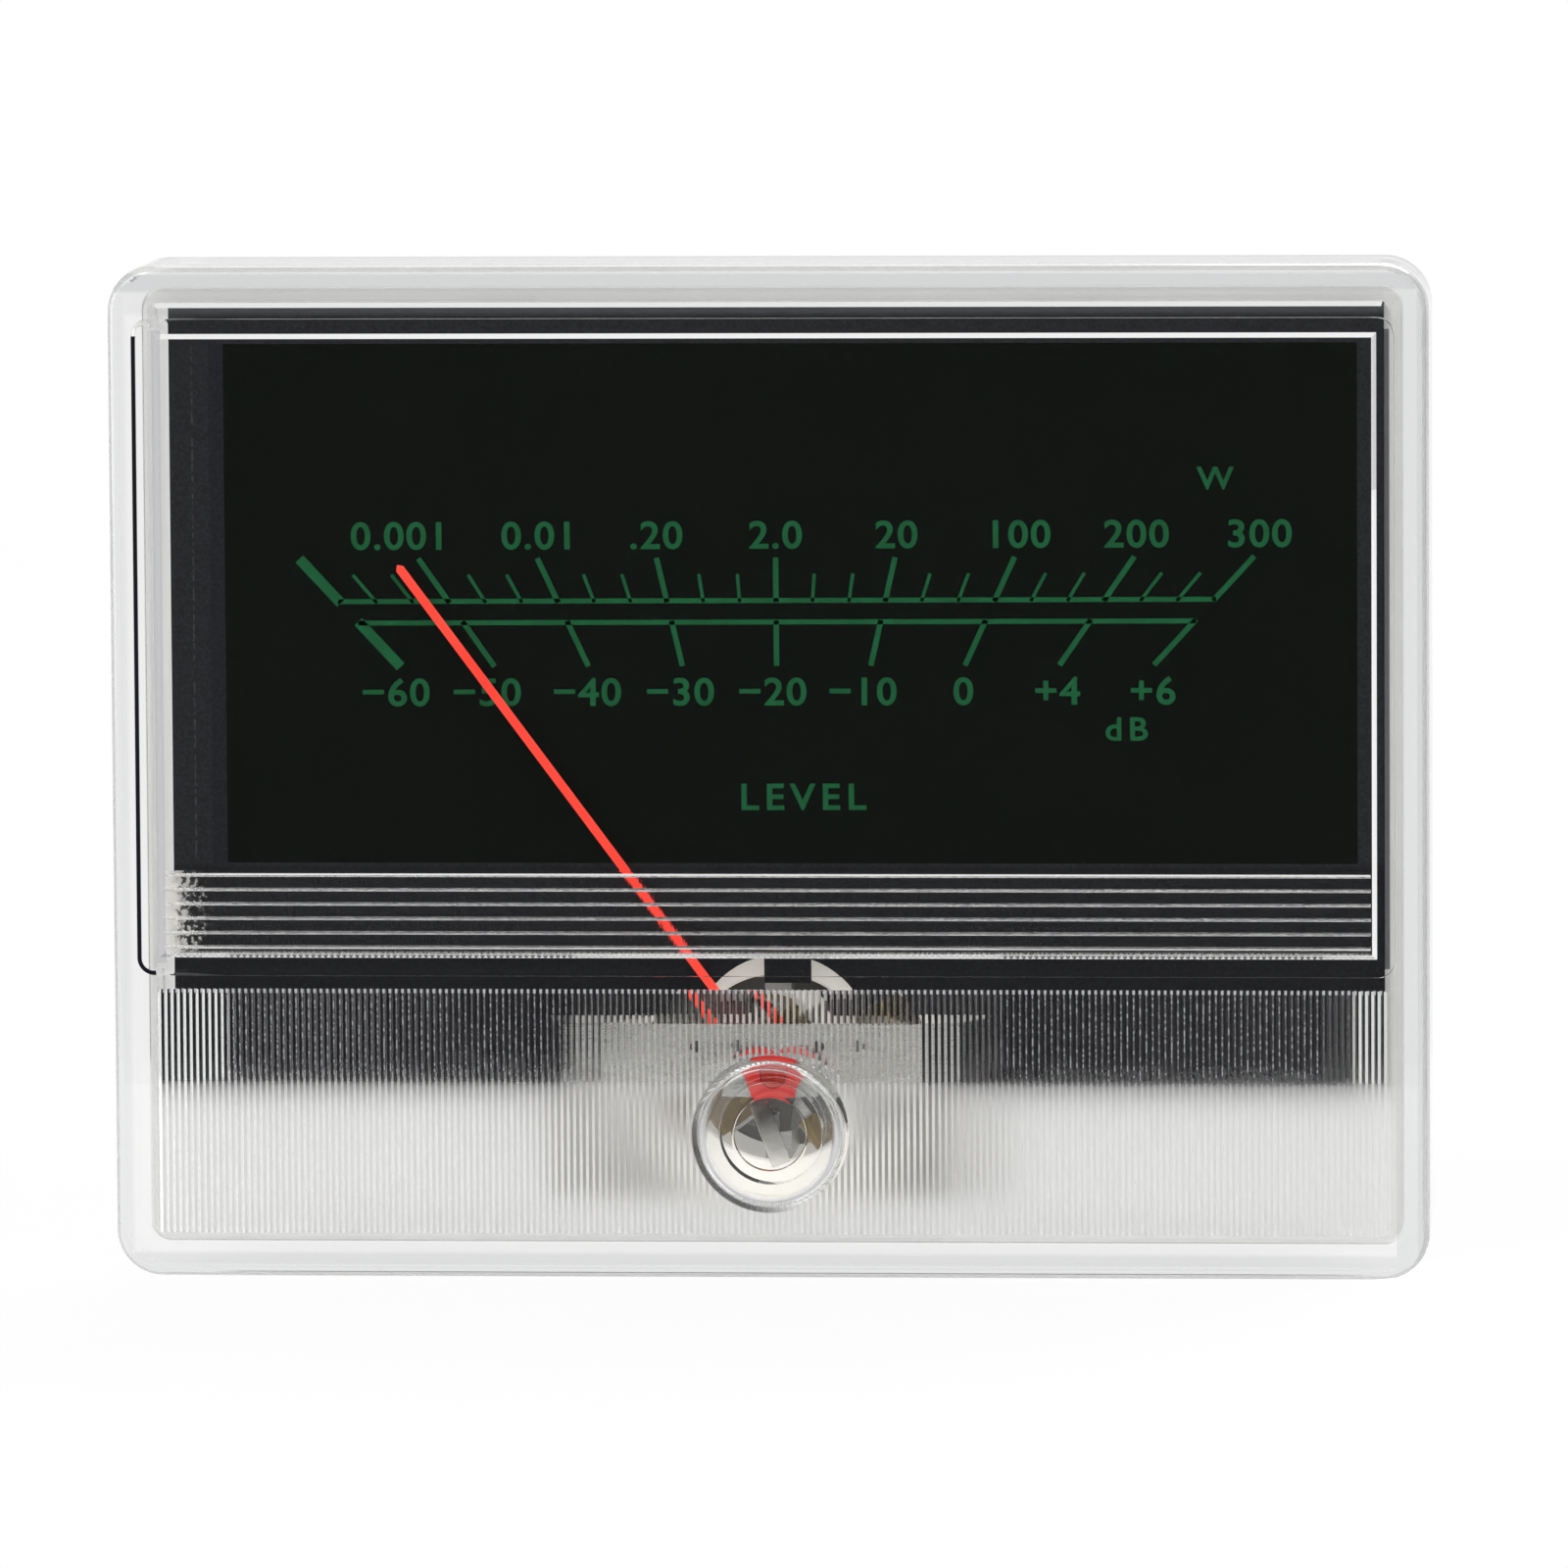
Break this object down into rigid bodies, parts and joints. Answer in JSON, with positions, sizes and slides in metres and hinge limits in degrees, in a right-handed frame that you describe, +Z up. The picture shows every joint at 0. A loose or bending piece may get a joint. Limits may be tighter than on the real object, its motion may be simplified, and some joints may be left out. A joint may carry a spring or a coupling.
{
  "type": "panel level meter",
  "caption": "Rectangular clear-fronted panel level meter: red pointer over a black scale, moving-coil works, screw zero adjuster and rear terminal studs.",
  "frame": {"origin": "middle of the bezel's back face, the plane that seats on the front of a panel", "axes": "+X to the right seen from the front, +Z up, the dial looks along -Y, the terminals point along +Y"},
  "size_m": [0.09, 0.0349, 0.0694],
  "materials": {
    "clear_cover": "clear polished plastic",
    "white_case": "fine matt moulding",
    "dial_black": "satin black print",
    "opal_sheet": "opal",
    "board": "white lacquer",
    "lamp_clear": "clear",
    "nickel": "nickel plated",
    "black_plastic": "matt",
    "frame_alloy": "satin",
    "bridge_alloy": "satin",
    "yoke_steel": "cream lacquer",
    "magnet": "ground",
    "brass": "turned",
    "jewel": "polished",
    "red_arm": "red",
    "spring_bronze": "drawn strip",
    "pointer_red": "red lacquer",
    "copper": "enamelled wire",
    "tinned": "tinned"
  },
  "bodies": {
    "meter": {"bearing_jewels": "jewel", "board_screws": "nickel", "bridge_screws": "nickel", "core_magnet": "magnet", "core_supports": "frame_alloy", "dial_plate": "dial_black", "frame_screws": "nickel", "front_bridge": "bridge_alloy", "front_cover": "clear_cover", "front_jewel_screw": "brass", "lamp_board": "board", "lamp_header": "black_plastic", "lamp_pins": "nickel", "lamps": "lamp_clear", "light_diffuser": "opal_sheet", "movement_frame": "white_case", "pointer_stops": "black_plastic", "rear_bridge": "bridge_alloy", "rear_bridge_screws": "nickel", "rear_case": "white_case", "rear_hairspring": "spring_bronze", "rear_jewel_screw": "brass", "rear_spring_post": "brass", "solder_lugs": "tinned", "terminal_nuts": "brass", "terminal_studs": "brass", "terminal_washers": "nickel", "yoke_ring": "yoke_steel"},
    "adjuster": {"zero_adjuster": "clear_cover"},
    "zero_lever": {"zero_arm": "red_arm", "front_hairspring": "spring_bronze"},
    "pointer_system": {"pointer_needle": "pointer_red", "pointer_hub": "pointer_red", "balance_arms": "bridge_alloy", "balance_weights": "copper", "coil_former": "frame_alloy", "coil_winding": "copper", "rear_pivot_base": "brass", "pivots": "nickel", "spring_collets": "brass"}
  },
  "joints": [
    {"name": "zero_adjuster_turn", "type": "hinge", "parent": "meter", "child": "adjuster", "pos_m": [0, -0.0095, -0.0248], "axis": [0, 1, 0], "range_deg": [-20, 20]},
    {"name": "zero_lever_turn", "type": "hinge", "parent": "meter", "child": "zero_lever", "pos_m": [0, -0.0058, -0.0211], "axis": [0, 1, 0], "range_deg": [-7, 7]},
    {"name": "pointer_turn", "type": "hinge", "parent": "zero_lever", "child": "pointer_system", "pos_m": [0, -0.004, -0.0211], "axis": [0, 1, 0], "range_deg": [-9.5, 82.5], "stiffness_Nm_per_rad": 0.00004}
  ],
  "couplings": [
    {"joint": "zero_lever_turn", "follows": "zero_adjuster_turn", "ratio": -0.3214}
  ]
}
